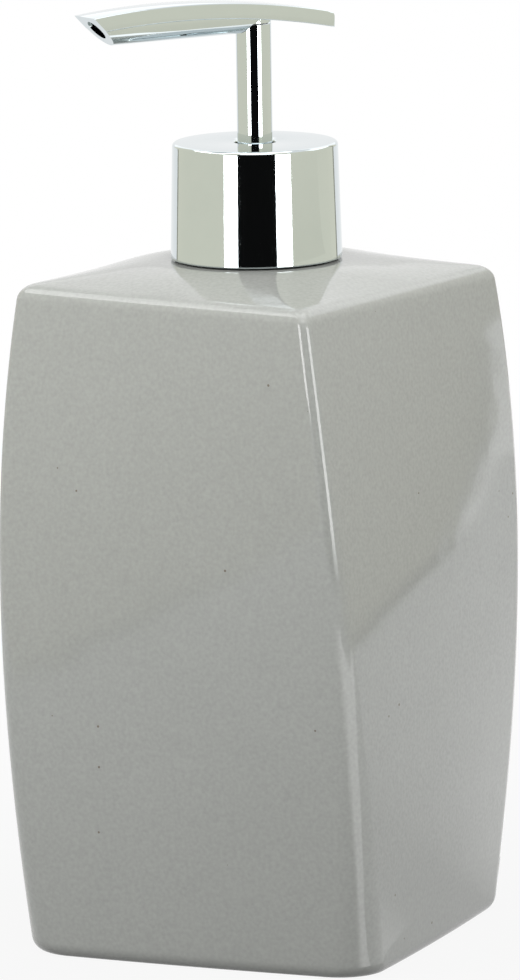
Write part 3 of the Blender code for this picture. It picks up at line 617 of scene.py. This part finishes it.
def grey_glaze():
    """Speckled grey glaze: a fine grain, faint clouds, a few iron specks, a slightly wavy skin."""
    made, tree, shader = material("grey_glaze")
    point = object_point(tree)
    broad = noise(tree, point, scale=30, detail=2)
    cloud = noise(tree, point, scale=170, detail=3)
    grain = noise(tree, point, scale=1350, detail=1, rough=0.4)
    colour = ramp(tree, grain, [(0.2, GLAZE_DARK), (0.8, GLAZE_LIGHT)])
    for clouds, tint in ((cloud, GLAZE_PALE_CLOUD), (broad, GLAZE_DEEP_CLOUD)):
        colour = mix(tree, spread(tree, clouds, 0, GLAZE_CLOUD_SHARE, 0.3, 0.7), colour, tint)
    specks = add(tree, "ShaderNodeTexVoronoi", Scale=SPECK_SCALE, Randomness=1.0)
    tree.links.new(point, specks.inputs["Vector"])
    chosen = add(tree, "ShaderNodeSeparateColor")
    tree.links.new(specks.outputs["Color"], chosen.inputs["Color"])
    size = spread(tree, chosen.outputs["Red"], 0.0, SPECK_SIZE, SPECKLESS_SHARE, 1.0)
    dot = add(tree, "ShaderNodeMath", operation="LESS_THAN")
    tree.links.new(specks.outputs["Distance"], dot.inputs[0])
    tree.links.new(size, dot.inputs[1])
    colour = mix(tree, dot.outputs["Value"], colour, IRON_SPECK)
    tree.links.new(colour, shader.inputs["Base Color"])
    tree.links.new(spread(tree, grain, 0.05, 0.08, 0.2, 0.8), shader.inputs["Roughness"])
    shader.inputs["IOR"].default_value = GLAZE_SHINE
    wavy = bump(tree, noise(tree, point, scale=55, detail=2), distance=0.00010)
    skin = bump(tree, noise(tree, point, scale=420, detail=2), distance=0.000008, below=wavy)
    fine = bump(tree, grain, distance=0.000004, below=skin)
    tree.links.new(fine, shader.inputs["Normal"])
    return made


def chrome():
    """Polished chrome: a faint haze and upright polishing streaks."""
    made, tree, shader = material("chrome")
    streaks = noise(tree, object_point(tree, (1, 1, 0.08)), scale=2600, detail=3, rough=0.6)
    haze = noise(tree, object_point(tree), scale=160, detail=3, rough=0.6)
    colour = ramp(tree, haze, [(0.3, CHROME_DARK), (0.7, CHROME_LIGHT)])
    tree.links.new(colour, shader.inputs["Base Color"])
    shader.inputs["Metallic"].default_value = 1.0
    rough = spread(tree, streaks, 0.028, 0.075, 0.45, 0.8)
    tree.links.new(rough, shader.inputs["Roughness"])
    tree.links.new(bump(tree, streaks, distance=0.0000012), shader.inputs["Normal"])
    return made


def plastic(name, dark, light, rough, grain=PLASTIC_GRAIN, shine=PLASTIC_SHINE):
    """Moulded plastic: faint flow clouds in its colour and a fine tool-texture on its skin."""
    made, tree, shader = material(name)
    point = object_point(tree)
    flow = noise(tree, object_point(tree, (1, 1, 0.35)), scale=120, detail=4, rough=0.55)
    skin = noise(tree, point, scale=grain, detail=3, rough=0.6)
    tree.links.new(ramp(tree, flow, [(0.3, dark), (0.7, light)]), shader.inputs["Base Color"])
    tree.links.new(spread(tree, skin, rough - 0.06, rough + 0.08, 0.3, 0.7), shader.inputs["Roughness"])
    shader.inputs["IOR"].default_value = shine
    tree.links.new(bump(tree, skin, distance=0.00003), shader.inputs["Normal"])
    return made


def drawn_steel(name):
    """Wire and balls: steel with fine drawing lines and slight dulling."""
    made, tree, shader = material(name)
    lines = noise(tree, object_point(tree, (1, 1, 12)), scale=900, detail=4, rough=0.65)
    dull = noise(tree, object_point(tree), scale=260, detail=3)
    colour = ramp(tree, dull, [(0.3, STEEL_DARK), (0.7, STEEL_LIGHT)])
    tree.links.new(colour, shader.inputs["Base Color"])
    shader.inputs["Metallic"].default_value = 1.0
    tree.links.new(spread(tree, lines, 0.16, 0.36, 0.3, 0.7), shader.inputs["Roughness"])
    tree.links.new(bump(tree, lines, distance=0.00001), shader.inputs["Normal"])
    return made


def dress(made, look):
    """Gives an object one material in place of any it has."""
    made.data.materials.clear()
    made.data.materials.append(look)


# Studio

# Bearings are in degrees round the pump's axis, from the camera's side, and grow to its right
VIEW_SIDE = math.radians(-67.4)
WHITE = (1.0, 1.0, 1.0)
BOARD = (0.84, 0.82, 0.685)
BLACK = (0.005, 0.005, 0.005)
SOFT_LIGHT = 0.38
BOARD_RADIUS = 0.52
# Distance of the dim strips of painted shade at the boards' feet and beside the right rim, just in
# front of the boards
SHADE_STRIP_RADIUS = 0.51
LIGHT_RADIUS = 0.30
LEFT_LIGHT_RADIUS = 0.20
UNDER_HEAD_HEIGHT = 0.1330
CEILING_HEIGHT = 0.85
ABOVE_FLOOR = 0.0002
ROW_STEPS = 24
CEILING_STEPS = 48
FLOOR_RADIUS = 0.62
FLOOR_STEPS = 96
FLOOR_GREY = 0.18
LAMP_SIZE = 0.30
LAMP_DISTANCE = 0.45
LAMP_TARGET = (0, 0, 0.09)


def lighting_rays(tree):
    """1 for rays that have left a matt surface and so bring it light, 0 for seen ones."""
    path = add(tree, "ShaderNodeLightPath")
    lighting = add(tree, "ShaderNodeMath", operation="MINIMUM")
    tree.links.new(path.outputs["Diffuse Depth"], lighting.inputs[0])
    lighting.inputs[1].default_value = 1
    return lighting.outputs["Value"]


def glow_look(name, colour, foot, head):
    """Glow whose strength goes from the foot's to the head's; as light it is as soft as the rest."""
    made = bpy.data.materials.new(name)
    made.use_nodes = True
    tree = made.node_tree
    tree.nodes.clear()
    out = tree.nodes.new("ShaderNodeOutputMaterial")
    glow = add(tree, "ShaderNodeEmission", Color=(*colour, 1))
    where = add(tree, "ShaderNodeTexCoord")
    split = add(tree, "ShaderNodeSeparateXYZ")
    tree.links.new(where.outputs["UV"], split.inputs["Vector"])
    strength = add(tree, "ShaderNodeMapRange")
    tree.links.new(lighting_rays(tree), strength.inputs["Value"])
    tree.links.new(spread(tree, split.outputs["Y"], foot, head), strength.inputs["To Min"])
    strength.inputs["To Max"].default_value = SOFT_LIGHT
    tree.links.new(strength.outputs["Result"], glow.inputs["Strength"])
    tree.links.new(glow.outputs["Emission"], out.inputs["Surface"])
    return made


def reflected_only(name, rows, look):
    """A sheet through two rows of points, seen in reflections and by nothing else."""
    body = bmesh.new()
    rings = [[body.verts.new(point) for point in row] for row in rows]
    layer = body.loops.layers.uv.new("along")
    count = len(rows[0]) - 1
    for i in range(count):
        face = body.faces.new((rings[0][i], rings[0][i + 1], rings[1][i + 1], rings[1][i]))
        places = ((i, 0), (i + 1, 0), (i + 1, 1), (i, 1))
        for corner, (across, up) in zip(face.loops, places):
            corner[layer].uv = (across / count, up)
    mesh = bpy.data.meshes.new(name)
    body.to_mesh(mesh)
    body.free()
    made = bpy.data.objects.new(name, mesh)
    bpy.context.scene.collection.objects.link(made)
    mesh.materials.append(look)
    made.visible_camera = False
    made.visible_diffuse = False
    made.visible_shadow = False


def around(near, far, radius, height, far_height=None, steps=ROW_STEPS):
    """Points between two bearings, at one height or rising evenly to another."""
    rise = 0 if far_height is None else far_height - height
    row = []
    for i in range(steps + 1):
        bearing = VIEW_SIDE + math.radians(near + (far - near) * i / steps)
        row.append((radius * math.cos(bearing), radius * math.sin(bearing), height + rise * i / steps))
    return row


def sheet(name, rows, colour, foot, head=None):
    """Sheet of glow between two rows, its strength going from the first row's to the second's."""
    reflected_only(name, rows, glow_look(name, colour, foot, foot if head is None else head))


def card(name, near, far, radius, low, high, colour, foot, head=None, far_high=None):
    """An upright curved board between two bearings."""
    rows = [around(near, far, radius, low), around(near, far, radius, high, far_high)]
    sheet(name, rows, colour, foot, head)


def point_at(bearing, distance, height=ABOVE_FLOOR):
    return around(bearing, bearing, distance, height, steps=1)[0]


def floor_line(*places):
    """Points just above the floor from their distances to the pump's axis and their bearings."""
    return [point_at(bearing, distance) for distance, bearing in places]


def front_cards():
    """The dark room behind the camera and the lit edges on both its sides."""
    card("dark_room", -26, 29, 0.60, 0.0, 0.546, BLACK, 1, far_high=0.489)
    card("front_glow", -24, 27, 0.61, 0.40, 0.85, WHITE, 2.4)
    card("left_light", -42, -24, LEFT_LIGHT_RADIUS, 0.105, 0.165, WHITE, 8)
    card("left_light_top", -42, -24, LEFT_LIGHT_RADIUS, 0.165, 0.50, BOARD, 1.0)
    card("right_light_foot", 27, 48, LIGHT_RADIUS, 0.050, 0.080, WHITE, 0, 7)
    card("right_light", 27, 48, LIGHT_RADIUS, 0.080, 0.190, WHITE, 7)
    card("right_light_top", 27, 48, LIGHT_RADIUS, 0.190, 0.62, BOARD, 1.1)


def left_cards():
    card("left_board", -131, -43, BOARD_RADIUS, 0.0, 0.60, BOARD, 0.98, 1.02)
    card("left_board_high", -150, -131, BOARD_RADIUS, 0.20, 0.60, BOARD, 1.0)
    # Painted shade: dim strips of the board's colour along the left board's far edge and at its foot on
    # the floor
    card("left_board_edge_shade", -134.5, -131, BOARD_RADIUS, 0.0, 0.20, BOARD, 0.45)
    card("left_board_foot_shade", -60, -53, SHADE_STRIP_RADIUS, 0.0, 0.006, BOARD, 0.40)
    card("left_glow", -125, -50, BOARD_RADIUS, 0.60, 0.95, WHITE, 5.0, 2.0)


def right_cards():
    card("right_board", 47, 95, BOARD_RADIUS, 0.0, 0.60, BOARD, 0.98, 1.02)
    card("right_board_side", 95, 119, BOARD_RADIUS, 0.0, 0.42, BOARD, 0.98, 1.02)
    card("right_board_far", 119, 134, BOARD_RADIUS, 0.045, 0.42, BOARD, 1.0)
    card("right_board_high", 138, 150, BOARD_RADIUS, 0.15, 0.42, BOARD, 1.0)
    # Painted shade: dim strips of the board's colour along the right board's far edge and at its foot
    # on the floor
    card("right_board_edge_shade", 134, 138, BOARD_RADIUS, 0.045, 0.38, BOARD, 0.45)
    card("right_board_foot_shade", 106, 119.5, SHADE_STRIP_RADIUS, 0.0, 0.006, BOARD, 0.45)
    card("right_glow", 95, 150, BOARD_RADIUS, 0.42, 0.72, WHITE, 1.8)


def back_cards():
    """The glow behind the object, what makes the slanting bright rim of its right face, and a dim line
    of painted shade beside that rim.
    """
    card("back_glow", 150, 212, BOARD_RADIUS, 0.27, 0.62, WHITE, 1.28)
    card("right_back_glow", 119.5, 150, 0.53, 0.0, 0.045, WHITE, 2.0)
    low, middle, high = 0.012, 0.053, 0.098
    card("right_rim_low", 118.8, 128, LIGHT_RADIUS, low, middle, WHITE, 1.4)
    rim = [around(118.8, 128, LIGHT_RADIUS, middle), around(113.4, 125, LIGHT_RADIUS, high)]
    sheet("right_rim", rim, WHITE, 2.0)
    # Painted shade: a thin dim strip of the board's colour, standing in for the shade along a board's
    # edge
    line = [around(119.7, 120.1, SHADE_STRIP_RADIUS, low), around(114.6, 115.0, SHADE_STRIP_RADIUS, 0.075)]
    sheet("right_shade_line", line, BOARD, 0.45)


def level_sheets():
    """What the spout tube mirrors from under it, the ceiling, and painted pools of light on the floor:
    glowing sheets seen only in reflections.
    """
    under = [
        around(42, 92, 0.055, UNDER_HEAD_HEIGHT),
        around(50, 92, LIGHT_RADIUS, UNDER_HEAD_HEIGHT),
    ]
    sheet("under_head", under, BOARD, 0.92, 0.98)
    # Painted pool of light on the floor behind the object, on its right
    back = [around(127, 150, radius, ABOVE_FLOOR) for radius in (0.08, 0.53)]
    sheet("floor_back_light_pool", back, WHITE, 1.5)
    ceiling = [
        around(-125, 145, radius, CEILING_HEIGHT, steps=CEILING_STEPS) for radius in (0.02, 0.35)
    ]
    sheet("ceiling", ceiling, WHITE, 2.8)
    # Painted pools of light on the floor between these lines, brightest where a glossy table would
    # mirror the right light
    left_side = floor_line(
        (0.052, 21), (0.087, 24), (0.129, 19.6), (0.185, 11.4), (0.255, 6), (0.385, -9)
    )
    middle = floor_line(
        (0.052, 24), (0.087, 29), (0.131, 28), (0.192, 26), (0.275, 27), (0.430, 20)
    )
    right_side = floor_line(
        (0.052, 27.6), (0.087, 36.8), (0.136, 46.4), (0.214, 55.8), (0.340, 71.7), (0.600, 92)
    )
    far_side = floor_line(
        (0.052, 80), (0.087, 92), (0.136, 96), (0.214, 98), (0.340, 100), (0.530, 104)
    )
    distances = (0.052, 0.087, 0.136, 0.214, 0.340, 0.530)
    back_side, back_start = (
        floor_line(*((distance, bearing) for distance in distances)) for bearing in (109, 127)
    )
    sheet("floor_light_pool_fall", [right_side, far_side], WHITE, 1.6, 1.0)
    sheet("floor_light_pool_rise", [back_side, back_start], WHITE, 1.0, 1.5)
    sheet("floor_light_pool_fade", [left_side, middle], WHITE, 1.2, 3.2)
    sheet("floor_light_pool_shine", [middle, right_side], WHITE, 3.2)


def seen_rays(tree):
    """1 for camera, glossy and transmission rays, but not for those that light a matt surface."""
    path = add(tree, "ShaderNodeLightPath")
    first = add(tree, "ShaderNodeMath", operation="MAXIMUM")
    tree.links.new(path.outputs["Is Camera Ray"], first.inputs[0])
    tree.links.new(path.outputs["Is Glossy Ray"], first.inputs[1])
    second = add(tree, "ShaderNodeMath", operation="MAXIMUM")
    tree.links.new(first.outputs["Value"], second.inputs[0])
    tree.links.new(path.outputs["Is Transmission Ray"], second.inputs[1])
    seen = add(tree, "ShaderNodeMath", operation="SUBTRACT", use_clamp=True)
    tree.links.new(second.outputs["Value"], seen.inputs[0])
    tree.links.new(lighting_rays(tree), seen.inputs[1])
    return seen.outputs["Value"]


def studio_world():
    world = bpy.data.worlds.new("studio")
    bpy.context.scene.world = world
    world.use_nodes = True
    tree = world.node_tree
    tree.nodes.clear()
    out = tree.nodes.new("ShaderNodeOutputWorld")
    soft = add(tree, "ShaderNodeBackground", Color=(1, 1, 1, 1), Strength=SOFT_LIGHT)
    white = add(tree, "ShaderNodeBackground", Color=(1, 1, 1, 1), Strength=1.0)
    chooser = add(tree, "ShaderNodeMixShader")
    tree.links.new(seen_rays(tree), chooser.inputs["Fac"])
    tree.links.new(soft.outputs["Background"], chooser.inputs[1])
    tree.links.new(white.outputs["Background"], chooser.inputs[2])
    tree.links.new(chooser.outputs["Shader"], out.inputs["Surface"])


def studio_floor():
    """A matt grey disc under a white glow that only seen rays meet, whole from 0.4 m out."""
    body = bmesh.new()
    bmesh.ops.create_circle(body, cap_ends=True, segments=FLOOR_STEPS, radius=FLOOR_RADIUS)
    mesh = bpy.data.meshes.new("studio_floor")
    body.to_mesh(mesh)
    body.free()
    made = bpy.data.objects.new("studio_floor", mesh)
    made.location.z = -ABOVE_FLOOR
    bpy.context.scene.collection.objects.link(made)
    look = bpy.data.materials.new("pale_floor")
    look.use_nodes = True
    tree = look.node_tree
    tree.nodes.clear()
    out = tree.nodes.new("ShaderNodeOutputMaterial")
    paint = add(tree, "ShaderNodeBsdfDiffuse", Color=(FLOOR_GREY, FLOOR_GREY, FLOOR_GREY, 1))
    glow = add(tree, "ShaderNodeEmission", Color=(1, 1, 1, 1), Strength=1.0)
    where = add(tree, "ShaderNodeTexCoord")
    away = add(tree, "ShaderNodeVectorMath", operation="LENGTH")
    tree.links.new(where.outputs["Object"], away.inputs[0])
    fade = spread(tree, away.outputs["Value"], 0.92, 1.0, 0.06, 0.40)
    factor = add(tree, "ShaderNodeMath", operation="MULTIPLY")
    tree.links.new(fade, factor.inputs[0])
    tree.links.new(seen_rays(tree), factor.inputs[1])
    chooser = add(tree, "ShaderNodeMixShader")
    tree.links.new(factor.outputs["Value"], chooser.inputs["Fac"])
    tree.links.new(paint.outputs["BSDF"], chooser.inputs[1])
    tree.links.new(glow.outputs["Emission"], chooser.inputs[2])
    tree.links.new(chooser.outputs["Shader"], out.inputs["Surface"])
    mesh.materials.append(look)


def lamp(name, power, size, place, target):
    """A square lamp that only lights: neither the camera nor the chrome sees it."""
    data = bpy.data.lights.new(name, "AREA")
    data.shape = "SQUARE"
    data.size = size
    data.energy = power
    made = bpy.data.objects.new(name, data)
    bpy.context.scene.collection.objects.link(made)
    made.location = place
    way = Vector(target) - Vector(place)
    made.rotation_euler = way.to_track_quat("-Z", "Y").to_euler()
    made.visible_camera = False
    made.visible_glossy = False


def studio_lamps():
    for name, power, bearing, height in (
        ("left_lamp", 1.62, -52, 0.40),
        ("front_lamp", 1.09, 15, 0.40),
        ("right_lamp", 1.15, 75, 0.40),
        ("back_right_lamp", 0.80, 160, 0.16),
        ("back_left_lamp", 0.80, -125, 0.16),
    ):
        lamp(name, power, LAMP_SIZE, point_at(bearing, LAMP_DISTANCE, height), LAMP_TARGET)
    lamp("overhead", 1.7, 0.62, (0.05, -0.12, 1.15), (0, 0, 0.1))


# Camera, fitted to the outline of the object

CAMERA_PLACE = (0.6313, -1.5166, 0.3814)
CAMERA_TURN = math.radians(22.6)
CAMERA_DIP = math.radians(10.088)
CAMERA_ROLL = math.radians(-0.826)
CAMERA_LENS = 308.48


def make_camera():
    data = bpy.data.cameras.new("camera")
    data.sensor_width = 36
    data.lens = CAMERA_LENS
    data.clip_start = 0.05
    data.clip_end = 20
    made = bpy.data.objects.new("camera", data)
    bpy.context.scene.collection.objects.link(made)
    made.matrix_world = (
        Matrix.Translation(CAMERA_PLACE)
        @ Matrix.Rotation(CAMERA_TURN, 4, "Z")
        @ Matrix.Rotation(math.pi / 2 - CAMERA_DIP, 4, "X")
        @ Matrix.Rotation(CAMERA_ROLL, 4, "Z")
    )
    bpy.context.scene.camera = made


# Dressing, smooth pieces and studio

glaze = grey_glaze()
metal = chrome()
steel = drawn_steel("spring_steel")
insert_plastic = plastic("insert_plastic", (0.68, 0.68, 0.66), (0.75, 0.75, 0.73), 0.42)
pump_plastic = plastic("pump_plastic", (0.79, 0.80, 0.79), (0.85, 0.86, 0.85), 0.30, grain=900.0)
guide_plastic = plastic("guide_plastic", (0.27, 0.28, 0.29), (0.33, 0.34, 0.35), 0.40)
piston_plastic = plastic("piston_plastic", (0.62, 0.68, 0.72), (0.69, 0.75, 0.79), 0.45)
tube_plastic = plastic("tube_plastic", (0.75, 0.77, 0.77), (0.81, 0.83, 0.83), 0.26, grain=700.0)
sealant = plastic("sealant", (0.55, 0.55, 0.53), (0.64, 0.64, 0.62), 0.58, grain=500.0, shine=1.42)
soft_seal = plastic("soft_seal", (0.085, 0.085, 0.085), (0.115, 0.115, 0.115), 0.60, grain=1100.0)

looks = {
    "bottle_body": glaze,
    "bonding_ring": sealant,
    "neck_insert": insert_plastic,
    "neck_gasket": soft_seal,
    "pump_housing": pump_plastic,
    "housing_retainer": guide_plastic,
    "stem_wiper": soft_seal,
    "ball_cage": pump_plastic,
    "return_spring": steel,
    "dip_tube": tube_plastic,
    "inlet_ball": steel,
    "collar_shell": metal,
    "inner_closure": insert_plastic,
    "piston_seal": piston_plastic,
    "piston_rod": pump_plastic,
    "outlet_ball": steel,
    "stem_tube": metal,
    "flow_liner": tube_plastic,
    "spout_head": metal,
}
for name, node in nodes.items():
    dress(node, looks[name])
for made, look in (
    (make_bottle(), glaze),
    (make_collar(), metal),
    (make_stem(), metal),
    (make_spring(), steel),
    (make_spout(), metal),
):
    dress(made, look)

front_cards()
left_cards()
right_cards()
back_cards()
level_sheets()
studio_world()
studio_floor()
studio_lamps()
make_camera()

scene = bpy.context.scene
scene.view_settings.view_transform = "Standard"
